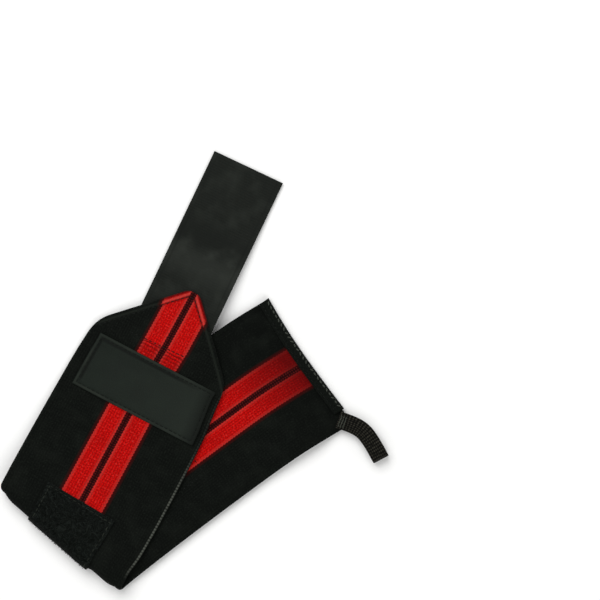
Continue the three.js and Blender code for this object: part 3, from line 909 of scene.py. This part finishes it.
# Where the stitches of a line lie: one matrix for each, at the height of the cloth there.
def stitchLine(points, pitch, heightAt, wobble=0.0):
    found = []
    left = pitch * 0.5
    for (x0, y0), (x1, y1) in zip(points, points[1:]):
        run = math.hypot(x1 - x0, y1 - y0)
        angle = math.atan2(y1 - y0, x1 - x0)
        while left < run:
            x = x0 + (x1 - x0) * left / run
            y = y0 + (y1 - y0) * left / run
            turned = angle + random.uniform(-wobble, wobble)
            found.append(Matrix.Translation((x, y, heightAt(x, y))) @ Matrix.Rotation(turned, 4, "Z"))
            left += pitch
        left -= run
    return found


# Stitches: small spindles of thread, at each matrix of the flat piece.
def sew(matrices, length, thick):
    bm = bmesh.new()
    shape = Matrix.Diagonal((length, thick, thick * 0.8, 1))
    bmesh.ops.create_uvsphere(bm, u_segments=6, v_segments=4, radius=0.5, matrix=shape)
    repeat(bm, matrices)
    return bm


def rectangle(halfWide, start, end):
    return [(-halfWide, start), (halfWide, start), (halfWide, end), (-halfWide, end), (-halfWide, start)]


# The hook tab: tape with its smooth back up, and hooks under it.
tabAround = turnAbout(hookTab["turn"], hookTab["aside"], 0)


def tabTop(x, y):
    crease = 0.22 * bump(0.55 * (x + 6) + 0.83 * (y + 36), 0, 2.2) * smooth(x, -16, -4) * (1 - smooth(x, 8, 17))
    cupped = -0.12 * smooth(abs(x), 13, 19)
    return -onFace + (crease + cupped) * (1 - smooth(y, -14, -6))


def tabBottom(x, y):
    return tabTop(x, y) - hookTab["backing"]


def makeTab():
    wide = hookTab["width"] / 2
    columns = [-wide, -wide + 0.4] + spaced(-wide + 1, wide - 1, hookTab["step"]) + [wide - 0.4, wide]
    bm = cutSheet(spaced(-hookTab["exposed"], hookTab["sewn"], hookTab["step"]), lambda row: columns)
    thicken(bm, tabBottom, tabTop)
    roundRim(bm, 0.2)
    keepPattern(bm)
    foldUp(bm, laidOn(tabAround))
    return bm


tabPiece = finishPiece(makeTab(), "hookTab", materials["tape"], "hook_tab")


# Each hook is a bent wire, leaning one way in one row and the other way in the next.
def makeHooks():
    wide = hookTab["width"] / 2 - 2.6
    tall = hookTab["thick"] - hookTab["backing"] - 0.02
    steps = [(0, 0, -0.45 * tall), (0, 0.16 * tall, -0.4 * tall), (0, 0.42 * tall, -0.15 * tall), (0, 0.3 * tall, 0.3 * tall)]
    bm = bentWire(4, hookTab["hookWire"], steps)
    matrices = []
    for i, y in enumerate(spaced(-hookTab["exposed"] + 1.2, hookTab["sewn"] - 1.2, hookTab["hookPitch"])):
        turned = Matrix.Rotation(math.pi * (i % 2), 4, "Z")
        for x in spaced(-wide, wide, hookTab["hookPitch"]):
            matrices.append(Matrix.Translation((x, y, tabBottom(x, y))) @ turned)
    repeat(bm, matrices)
    keepPattern(bm)
    foldUp(bm, laidOn(tabAround))
    bmesh.ops.recalc_face_normals(bm, faces=bm.faces[:])
    return bm


hooksPiece = finishPiece(makeHooks(), "tabHooks", materials["hooks"], None)


# The label: satin, pulled down along its border stitching and slightly full between.
labelAround = turnAbout(label["turn"], label["aside"], label["fromTip"] + label["length"] / 2)
labelBorder = 1.6


def labelTop(x, y):
    fromSide = label["width"] / 2 - abs(x)
    fromEnd = min(y - label["fromTip"], label["fromTip"] + label["length"] - y)
    inward = min(fromSide, fromEnd)
    pull = 0.38 * bump(inward, labelBorder, 0.6)
    pucker = 0.07 * math.sin((x + y) * 1.5) * bump(inward, labelBorder + 1.4, 1.4)
    slack = 0.1 * math.sin(x / 6.5 + 0.6 * math.sin(y / 4)) * smooth(inward, 2, 7)
    return onFace + label["thick"] - 0.12 - 0.2 * (1 - smooth(inward, 0, 1.2)) - pull + pucker + slack


def labelBottom(x, y):
    return face + 0.06


def makeLabel():
    wide = label["width"] / 2
    fine = [0, 0.4, 0.8, 1.2, 1.6, 2.0, 2.4]
    columns = (
        [-wide + i for i in fine]
        + spaced(-wide + 3.2, wide - 3.2, label["step"])
        + [wide - i for i in reversed(fine)]
    )
    start, end = label["fromTip"], label["fromTip"] + label["length"]
    rows = [start + i for i in fine] + spaced(start + 3.2, end - 3.2, label["step"]) + [end - i for i in reversed(fine)]
    bm = cutSheet(rows, lambda row: columns)
    thicken(bm, labelBottom, labelTop)
    roundRim(bm, 0.18)
    keepPattern(bm)
    foldUp(bm, laidOn(labelAround))
    return bm


labelPiece = finishPiece(makeLabel(), "labelPatch", materials["satin"], "label_patch")


# The loop patch: a woven ground with pile standing on it, carried round the fold.
def patchTop(x, y):
    inward = loopPatch["width"] / 2 - abs(x)
    return onFace + loopPatch["backing"] - 0.25 * bump(inward, 1.6, 0.5)


def patchBottom(x, y):
    return face + 0.06


def makePatch():
    wide = loopPatch["width"] / 2
    fine = [0, 0.5, 1.1, 1.6, 2.1, 2.7]
    columns = (
        [-wide + i for i in fine]
        + spaced(-wide + 3.5, wide - 3.5, loopPatch["step"])
        + [wide - i for i in reversed(fine)]
    )
    rows = stations(loopPatch["fromTip"], loopPatch["fromTip"] + loopPatch["length"], loopPatch["step"])
    bm = cutSheet(rows, lambda row: columns, fade=loopPatch["width"] / 2)
    thicken(bm, patchBottom, patchTop)
    roundRim(bm, 0.18)
    keepPattern(bm)
    foldUp(bm)
    return bm


patchPiece = finishPiece(makePatch(), "loopPatch", materials["pile"], "loop_patch")


# The pile: small loops of yarn, each turned its own way.
def makePile():
    wide = loopPatch["width"] / 2 - 2.2
    pitch = loopPatch["pilePitch"]
    tall = loopPatch["thick"] - loopPatch["backing"] - loopPatch["pileYarn"]
    steps = [(0.02, 0, 0.6), (0.28, 0.12, 0.45), (0.3, 0.12, -0.3), (0, 0, -0.65)]
    bm = bentWire(3, loopPatch["pileYarn"], [Vector(step) for step in steps])
    matrices = []
    foot = onFace + loopPatch["backing"] - 0.1
    for y in spaced(loopPatch["fromTip"] + 1.4, loopPatch["fromTip"] + loopPatch["length"] - 1.4, pitch):
        for x in spaced(-wide, wide, pitch):
            across = x + random.uniform(-0.4, 0.4) * pitch
            along = y + random.uniform(-0.4, 0.4) * pitch
            matrices.append(
                Matrix.Translation((across, along + slant(along, across, loopPatch["width"] / 2), foot))
                @ Matrix.Rotation(random.uniform(0, 2 * math.pi), 4, "Z")
                @ Matrix.Diagonal((1, random.uniform(-1, 1), random.uniform(0.65, 0.95) * tall, 1))
            )
    repeat(bm, matrices)
    keepPattern(bm)
    foldUp(bm)
    bmesh.ops.recalc_face_normals(bm, faces=bm.faces[:])
    return bm


pilePiece = finishPiece(makePile(), "loopPile", materials["pile"], None)


# The binding: narrow tape wrapped round the far end. Its own y runs round the strap's edge.
bindRadius = onFace
bindRoll = math.pi * bindRadius / 2
bindFlap = binding["depth"] - bindRadius - binding["thick"]
loopRoot = half - thumbLoop["insetAcross"] - (
    thumbLoop["sewn"] * math.cos(math.radians(loopBend[0][1]))
    + thumbLoop["width"] / 2 * math.sin(math.radians(loopBend[0][1]))
    + lay["seam"]
) / lowerLayer[-1][1]


def bindRound(x, y, out):
    outward = lay["seam"] + binding["thick"] - bindRadius - binding["thick"]
    edge = strap["length"] + endCurve(x) + outward
    if abs(y) < bindRoll:
        turn = y / bindRadius
        return place(x, edge + (bindRadius + out) * math.cos(turn), (bindRadius + out) * math.sin(turn))
    return place(x, edge - (abs(y) - bindRoll), math.copysign(bindRadius + out, y))


def bindingTop(x, y):
    ripple = 0.05 * math.sin(x * 2.1) * bump(abs(y), bindRoll + 0.6, 1.2)
    return binding["thick"] - 0.18 * bump(abs(y), bindRoll + bindFlap - 1.2, 0.5) + ripple


def makeBinding():
    reach = bindRoll + bindFlap
    rows = spaced(-reach, -bindRoll, 0.5)[:-1] + spaced(-bindRoll, bindRoll, 0.3) + spaced(bindRoll, reach, 0.5)[1:]
    columns = spaced(-half, loopRoot, binding["step"])
    bm = cutSheet(rows, lambda row: columns)
    thicken(bm, lambda x, y: 0.1, bindingTop)
    roundRim(bm, 0.2)
    keepPattern(bm)
    foldUp(bm, bindRound)
    bmesh.ops.recalc_face_normals(bm, faces=bm.faces[:])
    return bm


bindingPiece = finishPiece(makeBinding(), "endBinding", materials["binding"], "end_binding")


# The thumb loop: a band folded double, with an end on each face of the strap's corner.
def loopRoute():
    grain = 0.1
    start = place(half - thumbLoop["insetAcross"], strap["length"] - thumbLoop["insetAlong"], 0)

    def headingAt(distance):
        turned = math.radians(readTable(loopBend, 1, distance / thumbLoop["reach"]))
        return lowerAcross * math.cos(turned) + lowerAlong * math.sin(turned)

    route = {0: start.xy}
    for i in range(int(thumbLoop["reach"] / grain)):
        route[i + 1] = route[i] + headingAt((i + 0.5) * grain) * grain
    for i in range(int(thumbLoop["sewn"] / grain) + 1):
        route[-i - 1] = route[-i] - headingAt(-(i + 0.5) * grain) * grain

    def at(distance):
        low = math.floor(distance / grain)
        share = distance / grain - low
        return route[low].lerp(route[low + 1], share), headingAt(distance)

    return at


def loopLine():
    middle = thumbLoop["thick"] / 2
    rootHeight = endRest + onFace + middle
    turnRadius = (thumbLoop["gap"] + thumbLoop["thick"]) / 2
    turnAt = thumbLoop["reach"] - turnRadius - middle
    topHeight = middle + 2 * turnRadius
    legs = spaced(-thumbLoop["sewn"], turnAt, 1.2)
    line = [
        (d, rootHeight + (topHeight - rootHeight) * smooth(d, thumbLoop["insetAcross"] * 2, turnAt)) for d in legs
    ]
    for turn in spaced(0, math.pi, math.pi / 14)[1:-1]:
        line.append((turnAt + turnRadius * math.sin(turn), middle + turnRadius * (1 + math.cos(turn))))
    return line + [(d, middle) for d in reversed(legs)]


# The band's own y runs along it from its upper end to its lower one, right round the loop.
def bandMapping():
    line = loopLine()
    at = loopRoute()
    lengths = [0]
    for (d0, h0), (d1, h1) in zip(line, line[1:]):
        lengths.append(lengths[-1] + math.hypot(d1 - d0, h1 - h0))

    def mapping(x, y, out):
        y = min(max(y, 0), lengths[-1] - 1e-6)
        i = max(n for n in range(len(lengths) - 1) if lengths[n] <= y)
        share = (y - lengths[i]) / (lengths[i + 1] - lengths[i])
        distance = line[i][0] + (line[i + 1][0] - line[i][0]) * share
        height = line[i][1] + (line[i + 1][1] - line[i][1]) * share

        def run(n):
            before, after = line[max(n - 1, 0)], line[min(n + 1, len(line) - 1)]
            return Vector((after[0] - before[0], after[1] - before[1])).normalized()

        along = run(i).lerp(run(i + 1), share).normalized()
        spot, heading = at(distance)
        plan = spot + Vector((-heading.y, heading.x)) * x - heading * (along.y * out)
        return Vector((plan.x, plan.y, height + along.x * out))

    return mapping, lengths[-1]


bandMap, bandLength = bandMapping()


def bandTop(x, y):
    return thumbLoop["thick"] / 2 - 0.15 * smooth(abs(x), thumbLoop["width"] / 2 - 0.9, thumbLoop["width"] / 2)


def bandBottom(x, y):
    return -bandTop(x, y)


def makeThumbLoop():
    wide = thumbLoop["width"] / 2
    columns = [-wide, -wide + 0.3] + spaced(-wide + 0.8, wide - 0.8, 0.9) + [wide - 0.3, wide]
    bm = cutSheet(spaced(0, bandLength, thumbLoop["step"]), lambda row: columns)
    thicken(bm, bandBottom, bandTop)
    roundRim(bm, 0.15)
    keepPattern(bm)
    foldUp(bm, bandMap)
    bmesh.ops.recalc_face_normals(bm, faces=bm.faces[:])
    return bm


loopPiece = finishPiece(makeThumbLoop(), "thumbLoop", materials["elastic"], "thumb_loop")


# Sewing, as runs of stitches on each flat piece.
sewing = {
    "pitch": 2.5,
    "length": 2.0,
    "thick": 0.55,
    "pointIn": 3.0,  # the seam that holds the turned edge of the pointed end
    "tabIn": 0.4,
    "labelIn": 1.6,
    "patchIn": 1.6,
    "bindingIn": 1.2,
    "edgeRound": 0.7,  # share of the binding's rolled edge
}


def stitchPiece(name, runs, mapping, thread="thread"):
    bm = sew(runs, sewing["length"], sewing["thick"])
    keepPattern(bm)
    foldUp(bm, mapping)
    bmesh.ops.recalc_face_normals(bm, faces=bm.faces[:])
    return finishPiece(bm, name, materials[thread], None)


def pointSeam():
    inside = sewing["pointIn"]
    radius = strap["tipRadius"] - inside
    apex = tip["apex"] + inside / math.sin(tip["angle"])
    points = []
    for across in spaced(-half + 3, half - 3, 1.0):
        if abs(across) < radius * math.cos(tip["angle"]):
            points.append((across, strap["tipRadius"] - math.sqrt(radius**2 - across**2)))
        else:
            points.append((across, apex + abs(across) / tip["slope"]))
    return points


def onTop(x, y):
    return strapTop(x, y) + 0.02


def onBack(x, y):
    return strapBottom(x, y) - 0.02


tabEnd = [tabAround(x, hookTab["sewn"] - sewing["tabIn"]) for x in (-hookTab["width"] / 2 + 1, hookTab["width"] / 2 - 1)]
strapRuns = stitchLine(pointSeam(), sewing["pitch"], onTop) + stitchLine(tabEnd, sewing["pitch"], onTop)
stitchPiece("strapStitches", strapRuns, place)


def labelHeight(x, y):
    return labelTop(x, y) + 0.04


labelRun = rectangle(
    label["width"] / 2 - sewing["labelIn"],
    label["fromTip"] + sewing["labelIn"],
    label["fromTip"] + label["length"] - sewing["labelIn"],
)
stitchPiece("labelStitches", stitchLine(labelRun, sewing["pitch"], labelHeight), laidOn(labelAround))

patchEnd = loopPatch["fromTip"] + loopPatch["length"]
patchRun = rectangle(
    loopPatch["width"] / 2 - sewing["patchIn"], loopPatch["fromTip"] + sewing["patchIn"], patchEnd - sewing["patchIn"]
)


def slanted(x, y, out):
    return place(x, y + slant(y, x, loopPatch["width"] / 2), out)


patchRuns = stitchLine(patchRun, sewing["pitch"], lambda x, y: patchTop(x, y) + 0.1)
stitchPiece("patchStitches", patchRuns, slanted, "dimThread")
stitchPiece("patchBobbinStitches", stitchLine(patchRun, sewing["pitch"], onBack), slanted)



def onBinding(x, y):
    return bindingTop(x, y) + 0.05


# One seam along the binding's flaps, and an overlock round its rolled edge.
def bindingRuns(around, wobble):
    runs = []
    for y in (-around, around):
        runs += stitchLine([(-half + 1, y), (loopRoot - 0.8, y)], sewing["pitch"], onBinding, wobble)
    return runs


flapRuns = bindingRuns(bindRoll + bindFlap - sewing["bindingIn"], 0.0)
flapThread = stitchPiece("bindingStitches", flapRuns, bindRound)
edgeRuns = bindingRuns(bindRoll * sewing["edgeRound"], 0.5)
edgeThread = stitchPiece("bindingOverlock", edgeRuns, bindRound, "paleThread")

tackRuns = []
for y in (1.2, 2.4, 3.6, bandLength - 3.6, bandLength - 2.4, bandLength - 1.2):
    wide = thumbLoop["width"] / 2 - 0.8
    tackRuns += stitchLine([(-wide, y), (wide, y)], 1.5, lambda x, y: bandTop(x, y) + 0.03, wobble=0.35)
stitchPiece("loopStitches", tackRuns, bandMap, "paleThread")


# The studio: a pale floor, a soft light from the upper left, and a camera straight above.
studio = {
    "floorSize": 4.0,
    "floor": "#fcfcfb",
    "floorDeep": "#fafaf9",
    "lens": 200.0,
    "frameWidth": 0.2911,  # what the picture spans, in metres
    "frameMiddle": (47.51, 20.95),
    "roll": 28.31,
    "keyPower": 16.0,
    "keySize": 1.3,
    "keyFrom": (-0.75, 0.55, 1.25),
    "fillPower": 8.5,
    "skyStrength": 0.5,
}


def paintedFloor():
    material = bpy.data.materials.new("paintedFloor")
    material.use_nodes = True
    tree = material.node_tree
    shader = tree.nodes["Principled BSDF"]
    shader.inputs["Roughness"].default_value = 0.9
    shader.inputs["Specular IOR Level"].default_value = 0.2
    where = node(tree, "TexCoord", output=3)
    mottle = node(tree, "TexNoise", {"Vector": where, "Scale": 6.0, "Detail": 2.0})
    shade = node(tree, "MapRange", [mottle, 0.3, 0.7, 0.0, 1.0])
    colour = {0: shade, 6: linear(studio["floorDeep"]), 7: linear(studio["floor"])}
    tree.links.new(node(tree, "Mix", colour, 2, data_type="RGBA"), shader.inputs["Base Color"])
    return material


def makeStudio():
    bm = bmesh.new()
    bmesh.ops.create_grid(bm, x_segments=2, y_segments=2, size=studio["floorSize"] / 2)
    mesh = bpy.data.meshes.new("floor")
    bm.to_mesh(mesh)
    bm.free()
    floor = bpy.data.objects.new("floor", mesh)
    floor.location.z = -0.0002
    mesh.materials.append(paintedFloor())
    bpy.context.collection.objects.link(floor)

    for name, power, size, where in (
        ("keyLight", studio["keyPower"], studio["keySize"], studio["keyFrom"]),
        ("fillLight", studio["fillPower"], 1.6, (0.9, -0.7, 1.5)),
    ):
        light = bpy.data.lights.new(name, "AREA")
        light.energy = power
        light.shape = "DISK"
        light.size = size
        lamp = bpy.data.objects.new(name, light)
        lamp.location = where
        lamp.rotation_euler = (-Vector(where)).to_track_quat("-Z", "Y").to_euler()
        bpy.context.collection.objects.link(lamp)

    world = bpy.data.worlds.new("studioSky")
    world.use_nodes = True
    sky = world.node_tree.nodes["Background"]
    sky.inputs[0].default_value = (1, 1, 1, 1)
    sky.inputs[1].default_value = studio["skyStrength"]
    bpy.context.scene.world = world
    bpy.context.scene.view_settings.view_transform = "Standard"

    lens = bpy.data.cameras.new("camera")
    lens.lens = studio["lens"]
    lens.sensor_width = 36
    lens.clip_end = 20
    camera = bpy.data.objects.new("camera", lens)
    away = studio["frameWidth"] * studio["lens"] / 36
    aim = (Vector((*studio["frameMiddle"], 4)) + origin) * millimetre
    camera.location = aim + Vector((0, 0, away))
    camera.rotation_euler = (0, 0, math.radians(studio["roll"]))
    bpy.context.collection.objects.link(camera)
    bpy.context.scene.camera = camera


makeStudio()
print("made studio")
